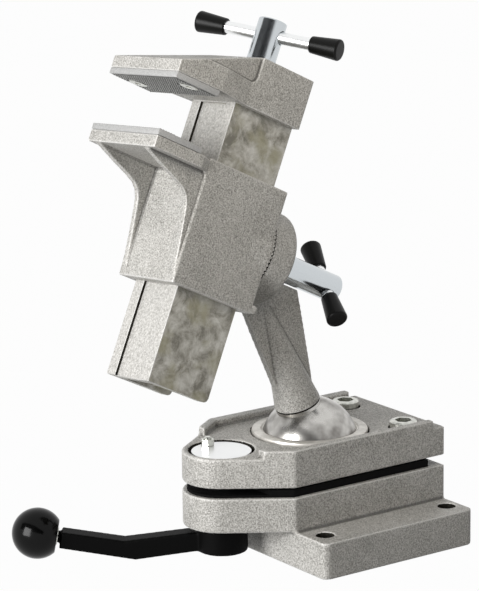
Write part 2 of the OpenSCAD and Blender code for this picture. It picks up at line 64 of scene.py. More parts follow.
# camera, fitted to the photograph's 479 x 591 frame
cameraFit = {"azimuth": 54.5, "elevation": 13.8, "roll": -0.7, "distance": 2.032,
             "aimRight": -0.047, "aimUp": 0.1594, "lens": 186.71}
az, el, roll = (math.radians(cameraFit[k]) for k in ("azimuth", "elevation", "roll"))
back = Vector((math.sin(az) * math.cos(el), -math.cos(az) * math.cos(el), math.sin(el)))
level = Vector((math.cos(az), math.sin(az), 0))
rise = back.cross(level)
right = level * math.cos(roll) + rise * math.sin(roll)
up = rise * math.cos(roll) - level * math.sin(roll)
eye = right * cameraFit["aimRight"] + up * cameraFit["aimUp"] + back * cameraFit["distance"]
lensData = bpy.data.cameras.new("photoCamera")
lensData.lens = cameraFit["lens"]
lensData.clip_start, lensData.clip_end = 0.1, 50
photoCamera = bpy.data.objects.new("photoCamera", lensData)
photoCamera.matrix_world = Matrix((right, up, back)).transposed().to_4x4()
photoCamera.location = eye
scene.collection.objects.link(photoCamera)
scene.camera = photoCamera
scene.view_settings.view_transform = "Standard"

# soft boxes: a broad low one before the jaws, a small near one high on the right
softBoxes = {
    "frontBox": {"at": (0.18, -2.09, 0.67), "size": 1.2, "watts": 57,
                 "tint": (1, 1, 1), "mirrored": True},
    "rightBox": {"at": (0.30, -0.12, 0.50), "size": 0.24, "watts": 0.78,
                 "tint": (1, 0.95, 0.87), "mirrored": False},
}
lightAim = Vector((0, -0.03, 0.17))
for boxName, box in softBoxes.items():
    lampData = bpy.data.lights.new(boxName, "AREA")
    lampData.size = box["size"]
    lampData.energy = box["watts"]
    lampData.color = box["tint"]
    lamp = bpy.data.objects.new(boxName, lampData)
    lamp.location = box["at"]
    lamp.rotation_mode = "QUATERNION"
    lamp.rotation_quaternion = (lightAim - lamp.location).to_track_quat("-Z", "Y")
    lamp.visible_camera = False
    lamp.visible_glossy = box["mirrored"]
    scene.collection.objects.link(lamp)
print("camera and soft boxes set")


def linear(hexCode):
    parts = [int(hexCode[i:i + 2], 16) / 255 for i in (1, 3, 5)]
    return tuple(v / 12.92 if v <= 0.04045 else ((v + 0.055) / 1.055) ** 2.4 for v in parts) + (1,)


def perMetre(size):
    return 1000 / size  # texture scale of a feature that many millimetres wide


def addNode(tree, kind, settings=None, inputs=None):
    node = tree.nodes.new(kind)
    for name, value in (settings or {}).items():
        setattr(node, name, value)
    for name, value in (inputs or {}).items():
        if isinstance(value, bpy.types.NodeSocket):
            tree.links.new(value, node.inputs[name])
        else:
            node.inputs[name].default_value = value
    return node


def newFinish(name):
    finish = bpy.data.materials.new(name)
    finish.use_nodes = True
    return finish, finish.node_tree, finish.node_tree.nodes["Principled BSDF"]


def setRamp(node, stops):
    ramp = node.color_ramp
    while len(ramp.elements) < len(stops):
        ramp.elements.new(0.5)
    for element, (place, hexCode) in zip(ramp.elements, stops):
        element.position = place
        element.color = linear(hexCode)


# world: white to the lens and to gloss, a softer grey as fill light
studio = bpy.data.worlds.new("studio")
scene.world = studio
studio.use_nodes = True
tree = studio.node_tree
tree.nodes.clear()
rays = addNode(tree, "ShaderNodeLightPath")
seen = addNode(tree, "ShaderNodeMath", {"operation": "MAXIMUM"},
               {0: rays.outputs["Is Camera Ray"], 1: rays.outputs["Is Glossy Ray"]})
seen = addNode(tree, "ShaderNodeMath", {"operation": "MAXIMUM"},
               {0: seen.outputs[0], 1: rays.outputs["Is Transmission Ray"]})
fillSky = addNode(tree, "ShaderNodeBackground", None, {"Color": linear("#F4F6FA"), "Strength": 0.05})
whiteSky = addNode(tree, "ShaderNodeBackground", None, {"Color": (1, 1, 1, 1), "Strength": 1.0})
sky = addNode(tree, "ShaderNodeMixShader", None,
              {0: seen.outputs[0], 1: fillSky.outputs[0], 2: whiteSky.outputs[0]})
addNode(tree, "ShaderNodeOutputWorld", None, {"Surface": sky.outputs[0]})

# floor paper: matt grey, almost pure white to the lens and to gloss, so that a faint shadow is left
floorPaper, tree, shader = newFinish("mattGreyPaper")
shader.inputs["Base Color"].default_value = linear("#5E5E5C")
shader.inputs["Roughness"].default_value = 0.9
rays = addNode(tree, "ShaderNodeLightPath")
paperWhite = addNode(tree, "ShaderNodeEmission", None, {"Color": (1, 1, 1, 1), "Strength": 1.0})
seen = addNode(tree, "ShaderNodeMath", {"operation": "MAXIMUM"},
               {0: rays.outputs["Is Camera Ray"], 1: rays.outputs["Is Glossy Ray"]})
seen = addNode(tree, "ShaderNodeMath", {"operation": "MAXIMUM"},
               {0: seen.outputs[0], 1: rays.outputs["Is Transmission Ray"]})
share = addNode(tree, "ShaderNodeMath", {"operation": "MULTIPLY"}, {0: seen.outputs[0], 1: 0.98})
paper = addNode(tree, "ShaderNodeMixShader", None,
                {0: share.outputs[0], 1: shader.outputs[0], 2: paperWhite.outputs[0]})
tree.links.new(paper.outputs[0], tree.nodes["Material Output"].inputs["Surface"])

# black flag cloth: a matt card over the lens that only mirrors see
flagCloth, tree, shader = newFinish("blackFlagCloth")
shader.inputs["Base Color"].default_value = linear("#06080E")
shader.inputs["Roughness"].default_value = 0.95

# hammer paint: sprayed silver enamel in dimples about a millimetre wide; where the mesh is fine, outer
# corners are paler from rubbed paint and a painted highlight, and inner creases get painted shade
hammerTones = ("#83817C", "#B2B0AB", "#D3D1CD")


def hammerCoat(name, poured):
    finish, tree, shader = newFinish(name)
    spot = addNode(tree, "ShaderNodeTexCoord").outputs["Object"]
    dimples = addNode(tree, "ShaderNodeTexVoronoi", {"feature": "SMOOTH_F1"},
                      {"Vector": spot, "Scale": perMetre(1.1), "Smoothness": 0.6})
    flake = addNode(tree, "ShaderNodeTexNoise", None,
                    {"Vector": spot, "Scale": perMetre(0.9), "Detail": 2.0, "Roughness": 0.6})
    cloud = addNode(tree, "ShaderNodeTexNoise", None,
                    {"Vector": spot, "Scale": perMetre(22), "Detail": 2.0})
    grain = addNode(tree, "ShaderNodeMath", {"operation": "MULTIPLY_ADD"},
                    {0: cloud.outputs["Fac"], 1: 0.15, 2: flake.outputs["Fac"]})
    tone = addNode(tree, "ShaderNodeValToRGB", None, {"Fac": grain.outputs[0]})
    setRamp(tone, list(zip((0.41, 0.575, 0.74), hammerTones)))
    coat = tone.outputs["Color"]
    if poured:  # a fine mesh tells where its corners are
        edge = addNode(tree, "ShaderNodeNewGeometry").outputs["Pointiness"]
        # outer corners: paler from rubbed paint and a painted highlight
        rubbedAndHighlit = addNode(tree, "ShaderNodeMapRange", {"clamp": True},
                       {"Value": edge, "From Min": 0.515, "From Max": 0.57, "To Min": 0.0, "To Max": 0.85})
        coat = addNode(tree, "ShaderNodeMix", {"data_type": "RGBA"},
                       {"Factor": rubbedAndHighlit.outputs[0], 6: coat, 7: linear("#E6E5E2")}).outputs[2]
        # inner creases: painted shade, near black
        creaseShade = addNode(tree, "ShaderNodeMapRange", {"clamp": True},
                        {"Value": edge, "From Min": 0.493, "From Max": 0.466, "To Min": 0.0, "To Max": 0.8})
        coat = addNode(tree, "ShaderNodeMix", {"data_type": "RGBA"},
                       {"Factor": creaseShade.outputs[0], 6: coat, 7: linear("#2E2C27")}).outputs[2]
    tree.links.new(coat, shader.inputs["Base Color"])
    shader.inputs["Metallic"].default_value = 0.12
    shader.inputs["Roughness"].default_value = 0.48
    relief = addNode(tree, "ShaderNodeMath", {"operation": "MULTIPLY_ADD"},
                     {0: flake.outputs["Fac"], 1: 0.8, 2: dimples.outputs["Distance"]})
    bump = addNode(tree, "ShaderNodeBump", None,
                   {"Strength": 0.65, "Distance": 0.0003, "Height": relief.outputs[0]})
    tree.links.new(bump.outputs[0], shader.inputs["Normal"])
    return finish


hammerPaint = hammerCoat("silverHammerPaint", False)
litAndShadedPaint = hammerCoat("litAndShadedHammerPaint", True)

# bare cast aluminium of the guide bar: etched, with olive grey blotches a few millimetres wide
bareCast, tree, shader = newFinish("bareCastAluminium")
spot = addNode(tree, "ShaderNodeTexCoord").outputs["Object"]
blotch = addNode(tree, "ShaderNodeTexNoise", None,
                 {"Vector": spot, "Scale": perMetre(13), "Detail": 8.0, "Roughness": 0.71,
                  "Distortion": 0.4})
tone = addNode(tree, "ShaderNodeValToRGB", None, {"Fac": blotch.outputs["Fac"]})
setRamp(tone, [(0.38, "#7A776D"), (0.50, "#AAA79E"), (0.62, "#CAC8C1")])
moss = addNode(tree, "ShaderNodeTexNoise", None, {"Vector": spot, "Scale": perMetre(18), "Detail": 3.0})
patch = addNode(tree, "ShaderNodeMapRange", {"clamp": True},
                {"Value": moss.outputs["Fac"], "From Min": 0.48, "From Max": 0.66, "To Min": 0.0,
                 "To Max": 0.7})
stained = addNode(tree, "ShaderNodeMix", {"data_type": "RGBA"},
                  {"Factor": patch.outputs[0], 6: tone.outputs["Color"], 7: linear("#9C987F")})
tree.links.new(stained.outputs[2], shader.inputs["Base Color"])
shader.inputs["Metallic"].default_value = 0.3
gloss = addNode(tree, "ShaderNodeMapRange", None,
                {"Value": blotch.outputs["Fac"], "From Min": 0.3, "From Max": 0.7, "To Min": 0.5,
                 "To Max": 0.34})
tree.links.new(gloss.outputs[0], shader.inputs["Roughness"])
pits = addNode(tree, "ShaderNodeTexNoise", None, {"Vector": spot, "Scale": perMetre(1.6), "Detail": 4.0})
bump = addNode(tree, "ShaderNodeBump", None,
               {"Strength": 0.3, "Distance": 0.0002, "Height": pits.outputs["Fac"]})
tree.links.new(bump.outputs[0], shader.inputs["Normal"])

# sand cast skin of the bar's sunk front: pale and rough, its grit drawn a little large so that it shows
sandSkin, tree, shader = newFinish("sandCastSkin")
spot = addNode(tree, "ShaderNodeTexCoord").outputs["Object"]
grit = addNode(tree, "ShaderNodeTexNoise", None,
               {"Vector": spot, "Scale": perMetre(1.4), "Detail": 3.0, "Roughness": 0.6})
tone = addNode(tree, "ShaderNodeValToRGB", None, {"Fac": grit.outputs["Fac"]})
setRamp(tone, [(0.32, "#A6A49F"), (0.66, "#D6D4D0")])
tree.links.new(tone.outputs["Color"], shader.inputs["Base Color"])
shader.inputs["Metallic"].default_value = 0.35
shader.inputs["Roughness"].default_value = 0.6
bump = addNode(tree, "ShaderNodeBump", None,
               {"Strength": 0.8, "Distance": 0.0006, "Height": grit.outputs["Fac"]})
tree.links.new(bump.outputs[0], shader.inputs["Normal"])

# milled bands of the bar: even pale grey with faint cutter marks along the bar
milledBand, tree, shader = newFinish("milledAluminium")
spot = addNode(tree, "ShaderNodeTexCoord").outputs["Object"]
marks = addNode(tree, "ShaderNodeTexNoise", None,
                {"Vector": spot, "Scale": perMetre(4), "Detail": 4.0, "Roughness": 0.6})
tone = addNode(tree, "ShaderNodeValToRGB", None, {"Fac": marks.outputs["Fac"]})
setRamp(tone, [(0.35, "#B9B8B4"), (0.65, "#D2D1CE")])
tree.links.new(tone.outputs["Color"], shader.inputs["Base Color"])
shader.inputs["Metallic"].default_value = 0.3
shader.inputs["Roughness"].default_value = 0.42
bump = addNode(tree, "ShaderNodeBump", None,
               {"Strength": 0.2, "Distance": 0.0001, "Height": marks.outputs["Fac"]})
tree.links.new(bump.outputs[0], shader.inputs["Normal"])

# blasted aluminium of the pads: pale, even and matt with a fine sparkle
blastedPad, tree, shader = newFinish("blastedAluminium")
spot = addNode(tree, "ShaderNodeTexCoord").outputs["Object"]
grit = addNode(tree, "ShaderNodeTexNoise", None,
               {"Vector": spot, "Scale": perMetre(0.9), "Detail": 3.0, "Roughness": 0.7})
tone = addNode(tree, "ShaderNodeValToRGB", None, {"Fac": grit.outputs["Fac"]})
setRamp(tone, [(0.35, "#A4A4A3"), (0.65, "#BCBCBB")])
tree.links.new(tone.outputs["Color"], shader.inputs["Base Color"])
shader.inputs["Metallic"].default_value = 0.25
shader.inputs["Roughness"].default_value = 0.5
bump = addNode(tree, "ShaderNodeBump", None,
               {"Strength": 0.3, "Distance": 0.00012, "Height": grit.outputs["Fac"]})
tree.links.new(bump.outputs[0], shader.inputs["Normal"])

# knurled clamping face: the same metal, pale on the points with painted shade in the grooves between them
knurlPadGrooveShade, tree, shader = newFinish("knurlWithGrooveShade")
ridge = addNode(tree, "ShaderNodeAttribute", {"attribute_name": "ridge"}).outputs["Fac"]
tone = addNode(tree, "ShaderNodeValToRGB", None, {"Fac": ridge})
setRamp(tone, [(0.1, "#232321"), (0.8, "#B9B9B7")])
tree.links.new(tone.outputs["Color"], shader.inputs["Base Color"])
shader.inputs["Metallic"].default_value = 0.25
shader.inputs["Roughness"].default_value = 0.5

# turned aluminium of the ball: bright with smoky handling marks
turnedBall, tree, shader = newFinish("turnedAluminium")
spot = addNode(tree, "ShaderNodeTexCoord").outputs["Object"]
smoke = addNode(tree, "ShaderNodeTexNoise", None,
                {"Vector": spot, "Scale": perMetre(16), "Detail": 3.0, "Roughness": 0.5})
tone = addNode(tree, "ShaderNodeValToRGB", None, {"Fac": smoke.outputs["Fac"]})
setRamp(tone, [(0.38, "#827F7B"), (0.62, "#C6C4C0")])
tree.links.new(tone.outputs["Color"], shader.inputs["Base Color"])
shader.inputs["Metallic"].default_value = 1.0
gloss = addNode(tree, "ShaderNodeMapRange", None,
                {"Value": smoke.outputs["Fac"], "From Min": 0.3, "From Max": 0.7, "To Min": 0.36,
                 "To Max": 0.24})
tree.links.new(gloss.outputs[0], shader.inputs["Roughness"])

# turned aluminium of the seat ring: cleaner and paler than the ball
ringMetal, tree, shader = newFinish("ringAluminium")
spot = addNode(tree, "ShaderNodeTexCoord").outputs["Object"]
smoke = addNode(tree, "ShaderNodeTexNoise", None,
                {"Vector": spot, "Scale": perMetre(8), "Detail": 3.0, "Roughness": 0.5})
tone = addNode(tree, "ShaderNodeValToRGB", None, {"Fac": smoke.outputs["Fac"]})
setRamp(tone, [(0.36, "#C3C0B9"), (0.64, "#E3E0DA")])
tree.links.new(tone.outputs["Color"], shader.inputs["Base Color"])
shader.inputs["Metallic"].default_value = 0.6
shader.inputs["Roughness"].default_value = 0.4

# chromium plate on steel: clear mirror, faintly blue
chromePlate, tree, shader = newFinish("chromedSteel")
spot = addNode(tree, "ShaderNodeTexCoord").outputs["Object"]
wipe = addNode(tree, "ShaderNodeTexNoise", None, {"Vector": spot, "Scale": perMetre(6), "Detail": 3.0})
gloss = addNode(tree, "ShaderNodeMapRange", None,
                {"Value": wipe.outputs["Fac"], "From Min": 0.3, "From Max": 0.7, "To Min": 0.15,
                 "To Max": 0.165})
tree.links.new(gloss.outputs[0], shader.inputs["Roughness"])
shader.inputs["Base Color"].default_value = linear("#C8CDD0")
shader.inputs["Metallic"].default_value = 1.0

# lapped steel of the bolt head and the tommy bars: near white, with faint rubbing marks
lappedSteel, tree, shader = newFinish("lappedSteel")
spot = addNode(tree, "ShaderNodeTexCoord").outputs["Object"]
rub = addNode(tree, "ShaderNodeTexNoise", None, {"Vector": spot, "Scale": perMetre(5), "Detail": 4.0})
gloss = addNode(tree, "ShaderNodeMapRange", None,
                {"Value": rub.outputs["Fac"], "From Min": 0.3, "From Max": 0.7, "To Min": 0.28,
                 "To Max": 0.36})
tree.links.new(gloss.outputs[0], shader.inputs["Roughness"])
shader.inputs["Base Color"].default_value = linear("#F1F2F2")
shader.inputs["Metallic"].default_value = 1.0

# zinc plate on the small screws: dull bright with a soft bluish cast
zincPlate, tree, shader = newFinish("zincPlatedSteel")
spot = addNode(tree, "ShaderNodeTexCoord").outputs["Object"]
bloom = addNode(tree, "ShaderNodeTexNoise", None, {"Vector": spot, "Scale": perMetre(2.5), "Detail": 3.0})
tone = addNode(tree, "ShaderNodeValToRGB", None, {"Fac": bloom.outputs["Fac"]})
setRamp(tone, [(0.35, "#B9BAB4"), (0.65, "#D6D6CF")])
tree.links.new(tone.outputs["Color"], shader.inputs["Base Color"])
shader.inputs["Metallic"].default_value = 1.0
shader.inputs["Roughness"].default_value = 0.3

# black lever enamel: half gloss with a slight orange peel
leverEnamel, tree, shader = newFinish("blackEnamel")
spot = addNode(tree, "ShaderNodeTexCoord").outputs["Object"]
peel = addNode(tree, "ShaderNodeTexNoise", None, {"Vector": spot, "Scale": perMetre(2.2), "Detail": 2.0})
bump = addNode(tree, "ShaderNodeBump", None,
               {"Strength": 0.25, "Distance": 0.00012, "Height": peel.outputs["Fac"]})
tree.links.new(bump.outputs[0], shader.inputs["Normal"])
shader.inputs["Base Color"].default_value = linear("#050505")
shader.inputs["Roughness"].default_value = 0.5
shader.inputs["Specular IOR Level"].default_value = 0.05

# moulded phenolic of the ball knob: deep black with a hard gloss
knobResin, tree, shader = newFinish("blackPhenolic")
spot = addNode(tree, "ShaderNodeTexCoord").outputs["Object"]
haze = addNode(tree, "ShaderNodeTexNoise", None, {"Vector": spot, "Scale": perMetre(7), "Detail": 3.0})
gloss = addNode(tree, "ShaderNodeMapRange", None,
                {"Value": haze.outputs["Fac"], "From Min": 0.3, "From Max": 0.7, "To Min": 0.1,
                 "To Max": 0.2})
tree.links.new(gloss.outputs[0], shader.inputs["Roughness"])
shader.inputs["Base Color"].default_value = linear("#070707")
shader.inputs["Specular IOR Level"].default_value = 0.15

# moulded caps: black plastic with a satin spark finish
capPlastic, tree, shader = newFinish("blackPolyamide")
spot = addNode(tree, "ShaderNodeTexCoord").outputs["Object"]
spark = addNode(tree, "ShaderNodeTexNoise", None, {"Vector": spot, "Scale": perMetre(0.7), "Detail": 2.0})
bump = addNode(tree, "ShaderNodeBump", None,
               {"Strength": 0.2, "Distance": 0.00006, "Height": spark.outputs["Fac"]})
tree.links.new(bump.outputs[0], shader.inputs["Normal"])
shader.inputs["Base Color"].default_value = linear("#0A0A09")
shader.inputs["Roughness"].default_value = 0.36
shader.inputs["Specular IOR Level"].default_value = 0.14

# liner: dull black rubber sheet; along the nose it is a dark sheet standing in for the shade in the gap,
# painted shade
linerRubberAndGapShade, tree, shader = newFinish("blackRubberAndGapShade")
spot = addNode(tree, "ShaderNodeTexCoord").outputs["Object"]
bloom = addNode(tree, "ShaderNodeTexNoise", None, {"Vector": spot, "Scale": perMetre(3), "Detail": 4.0})
tone = addNode(tree, "ShaderNodeValToRGB", None, {"Fac": bloom.outputs["Fac"]})
setRamp(tone, [(0.35, "#050505"), (0.7, "#0B0A0A")])
tree.links.new(tone.outputs["Color"], shader.inputs["Base Color"])
shader.inputs["Roughness"].default_value = 0.8
shader.inputs["Specular IOR Level"].default_value = 0.1

# painted shade of bores, recesses and narrow gaps: near black, no shine, so that holes read as holes
paintedShade, tree, shader = newFinish("paintedShade")
spot = addNode(tree, "ShaderNodeTexCoord").outputs["Object"]
shadeMottle = addNode(tree, "ShaderNodeTexNoise", None, {"Vector": spot, "Scale": perMetre(2), "Detail": 4.0})
tone = addNode(tree, "ShaderNodeValToRGB", None, {"Fac": shadeMottle.outputs["Fac"]})
setRamp(tone, [(0.35, "#1B1A17"), (0.7, "#34312B")])
tree.links.new(tone.outputs["Color"], shader.inputs["Base Color"])
shader.inputs["Roughness"].default_value = 0.85
shader.inputs["Specular IOR Level"].default_value = 0.1

# gunmetal of the spindle nut: brownish yellow, machined
nutBronze, tree, shader = newFinish("gunmetalBronze")
spot = addNode(tree, "ShaderNodeTexCoord").outputs["Object"]
stain = addNode(tree, "ShaderNodeTexNoise", None, {"Vector": spot, "Scale": perMetre(4), "Detail": 4.0})
tone = addNode(tree, "ShaderNodeValToRGB", None, {"Fac": stain.outputs["Fac"]})
setRamp(tone, [(0.35, "#8A6A3C"), (0.65, "#B08C55")])
tree.links.new(tone.outputs["Color"], shader.inputs["Base Color"])
shader.inputs["Metallic"].default_value = 1.0
shader.inputs["Roughness"].default_value = 0.38

# oiled steel of threads and shanks: dark grey
oiledSteel, tree, shader = newFinish("oiledSteel")
spot = addNode(tree, "ShaderNodeTexCoord").outputs["Object"]
film = addNode(tree, "ShaderNodeTexNoise", None, {"Vector": spot, "Scale": perMetre(3.5), "Detail": 3.0})
tone = addNode(tree, "ShaderNodeValToRGB", None, {"Fac": film.outputs["Fac"]})
setRamp(tone, [(0.35, "#57575A"), (0.65, "#838487")])
tree.links.new(tone.outputs["Color"], shader.inputs["Base Color"])
shader.inputs["Metallic"].default_value = 1.0
shader.inputs["Roughness"].default_value = 0.33
print("finishes made")


def placePiece(name, bm, body, replaced, finishes, place, sharp=38, even=True):
    bmesh.ops.transform(bm, matrix=place @ Matrix.Scale(mm, 4), verts=bm.verts)
    for face in bm.faces:
        face.smooth = True
    for seam in bm.edges:
        seam.smooth = seam.calc_face_angle(0) < math.radians(sharp)
    mesh = bpy.data.meshes.new(name)
    bm.to_mesh(mesh)
    bm.free()
    for finish in finishes:
        mesh.materials.append(finish)
    piece = bpy.data.objects.new(name, mesh)
    scene.collection.objects.link(piece)
    if even:
        flat = piece.modifiers.new("evenShading", "WEIGHTED_NORMAL")
        flat.keep_sharp = True
    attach(piece, body)
    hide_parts(*replaced)


def bakedShape(obj):
    shape = bpy.data.meshes.new_from_object(obj.evaluated_get(bpy.context.evaluated_depsgraph_get()))
    bm = bmesh.new()
    bm.from_mesh(shape)
    old = obj.data
    bpy.data.objects.remove(obj)
    bpy.data.meshes.remove(old)
    bpy.data.meshes.remove(shape)
    return bm


def looseObject(bm):
    mesh = bpy.data.meshes.new("loose")
    bm.to_mesh(mesh)
    bm.free()
    obj = bpy.data.objects.new("loose", mesh)
    scene.collection.objects.link(obj)
    return obj


# pours the sharp solid as one casting: voxels melt its corners and fillet its inner angles
def castSkin(bm, voxel, passes):
    raw = looseObject(bm)
    melt = raw.modifiers.new("melt", "REMESH")
    melt.mode = "VOXEL"
    melt.voxel_size = voxel
    bm = bakedShape(raw)
    for _ in range(passes):
        bmesh.ops.smooth_vert(bm, verts=bm.verts, factor=0.5, use_axis_x=True, use_axis_y=True,
                              use_axis_z=True)
    return bm


def solidCopy(node, place):
    bm = bmesh.new()
    bm.from_mesh(solids[node].data)
    bmesh.ops.transform(bm, matrix=(place @ Matrix.Scale(mm, 4)).inverted(), verts=bm.verts)
    bmesh.ops.remove_doubles(bm, verts=bm.verts, dist=0.001)
    return bm


def cutAway(bm, tool):
    block = looseObject(bm)
    cutter = looseObject(tool)
    cut = block.modifiers.new("cut", "BOOLEAN")
    cut.operation = "DIFFERENCE"
    cut.object = cutter
    bm = bakedShape(block)
    old = cutter.data
    bpy.data.objects.remove(cutter)
    bpy.data.meshes.remove(old)
    return bm


def spunShape(profile, steps=72):
    bm = bmesh.new()
    points = [bm.verts.new((r, 0, h)) for r, h in profile]
    lines = [bm.edges.new(pair) for pair in zip(points, points[1:])]
    bmesh.ops.spin(bm, geom=points + lines, cent=(0, 0, 0), axis=(0, 0, 1), angle=2 * math.pi, steps=steps,
                   use_merge=True)
    bmesh.ops.remove_doubles(bm, verts=bm.verts, dist=0.0005)
    bmesh.ops.recalc_face_normals(bm, faces=bm.faces)
    return bm


def softenEdges(bm, width, segments=3, angle=30):
    hard = [e for e in bm.edges if e.calc_face_angle(0) > math.radians(angle)]
    bmesh.ops.bevel(bm, geom=hard, offset=width, offset_type="OFFSET", affect="EDGES", segments=segments,
                    profile=0.5, material=-1, clamp_overlap=True)
    return bm


def addShape(bm, other, place=None):
    mesh = bpy.data.meshes.new("loose")
    if place is not None:
        bmesh.ops.transform(other, matrix=place, verts=other.verts)
    other.to_mesh(mesh)
    other.free()
    bm.from_mesh(mesh)
    bpy.data.meshes.remove(mesh)
    return bm


def paintFaces(bm, index):
    for face in bm.faces:
        face.material_index = index
    return bm


def boxShape(low, high):
    bm = bmesh.new()
    bmesh.ops.create_cube(bm, size=1)
    size = [b - a for a, b in zip(low, high)]
    bmesh.ops.scale(bm, vec=size, verts=bm.verts)
    bmesh.ops.translate(bm, vec=[(a + b) / 2 for a, b in zip(low, high)], verts=bm.verts)
    return bm


def prism(radius, corners, low, high, turn=0):
    bm = bmesh.new()
    bmesh.ops.create_cone(bm, cap_ends=True, segments=corners, radius1=radius, radius2=radius,
                          depth=high - low)
    bmesh.ops.rotate(bm, cent=(0, 0, 0), matrix=Matrix.Rotation(math.radians(turn), 3, "Z"), verts=bm.verts)
    bmesh.ops.translate(bm, vec=(0, 0, (low + high) / 2), verts=bm.verts)
    return bm


# a machined casting keeps its flats: flat triangles are joined, then the outer corners are broken
def crispCopy(node, place):
    bm = solidCopy(node, place)
    bmesh.ops.dissolve_limit(bm, angle_limit=math.radians(1), use_dissolve_boundaries=False, verts=bm.verts,
                             edges=bm.edges)
    return bm


def breakCorners(bm, width, rubbed, angle=28, shortest=1.5):
    outer = [e for e in bm.edges if e.is_manifold and e.is_convex and e.calc_length() > shortest
             and e.calc_face_angle(0) > math.radians(angle)]
    broken = bmesh.ops.bevel(bm, geom=outer, offset=width, offset_type="OFFSET", affect="EDGES", segments=3,
                             profile=0.5, material=-1, clamp_overlap=False)
    for face in broken["faces"]:
        face.material_index = rubbed
    return bm


def cutFlat(bm, point, normal):
    cut = bmesh.ops.bisect_plane(bm, geom=bm.verts[:] + bm.edges[:] + bm.faces[:], plane_co=point,
                                 plane_no=normal, clear_inner=True)
    rim = [e for e in cut["geom_cut"] if isinstance(e, bmesh.types.BMEdge)]
    bmesh.ops.triangle_fill(bm, use_beauty=True, use_dissolve=False, edges=rim)
    bmesh.ops.dissolve_degenerate(bm, dist=0.1, edges=bm.edges)


# castings of the base
casting = {"voxel": 0.92, "passes": 2}
benchBoreShade = [(x, y, 6.3, -1, 23.4) for x in (-62, 62) for y in (-34.5, 65.5)]
plateBoreShade = [(0, -71.2, 21.6, 60, 73.2), (0, 0, 39.3, 50, 73.2), (-31.3, 53.6, 10.1, 60, 73.2),
              (31.3, 53.6, 10.1, 60, 73.2)]


# bore walls and recesses inside these circles take painted shade (index 1)
def castWithBoreShade(node, bores):
    bm = castSkin(solidCopy(node, Matrix()), casting["voxel"], casting["passes"])
    for face in bm.faces:
        middle = face.calc_center_median()
        for x, y, radius, low, high in bores:
            if low < middle.z < high and math.hypot(middle.x - x, middle.y - y) < radius:
                face.material_index = 1
    return bm


placePiece("baseCasting", castWithBoreShade("base_casting", benchBoreShade), "base", ["base_casting"],
           [litAndShadedPaint, paintedShade], Matrix(), 180, False)
placePiece("clampPlate", castWithBoreShade("clamp_plate", plateBoreShade), "plate", ["clamp_plate"],
           [litAndShadedPaint, paintedShade], Matrix(), 180, False)
print("base castings poured")

# jaw body: the casting ends flat behind, where the toothed ring is set on
serration = {"teeth": 72, "outer": 31.0, "inner": 21.0, "height": 1.5, "gap": 0.55, "root": 0.9}


def toothedRing(facing, phase, coat):
    outer, inner, half = serration["outer"], serration["inner"], math.pi / serration["teeth"]
    height, rootDeep = serration["height"], serration["root"]
    bm = bmesh.new()
    ends = []
    for radius in (outer, inner):
        tall = height * radius / outer / 2
        ends.append([bm.verts.new((radius * math.sin(a), facing * h, radius * math.cos(a)))
                     for a, h in ((-half, -tall), (0, tall), (half, -tall))])
    low, high = ends
    bm.faces.new(low).material_index = coat
    bm.faces.new(high).material_index = coat
    # tooth flanks, which face into the gap between the rings, take painted shade (index 2)
    bm.faces.new((low[0], low[1], high[1], high[0])).material_index = 2
    bm.faces.new((low[1], low[2], high[2], high[1])).material_index = 2
    bmesh.ops.spin(bm, geom=bm.verts[:] + bm.edges[:] + bm.faces[:], cent=(0, 0, 0), axis=(0, 1, 0),
                   angle=2 * math.pi * (1 - 1 / serration["teeth"]), steps=serration["teeth"] - 1,
                   use_duplicate=True)
    bmesh.ops.remove_doubles(bm, verts=bm.verts, dist=0.001)
    bmesh.ops.recalc_face_normals(bm, faces=bm.faces)
    root = -facing * (height / 2 + rootDeep)
    ring = spunShape([(outer, 0), (outer, rootDeep), (inner, rootDeep - (1 - inner / outer) * height / 2),
                      (inner, 0)])
    addShape(bm, paintFaces(ring, coat),
             Matrix.Translation((0, root, 0)) @ (alongY if facing > 0 else turned("X", 90)))
    bmesh.ops.rotate(bm, cent=(0, 0, 0), matrix=Matrix.Rotation(phase * half, 3, "Y"), verts=bm.verts)
    bmesh.ops.translate(bm, vec=(0, -facing * serration["gap"], 0), verts=bm.verts)
    return bm


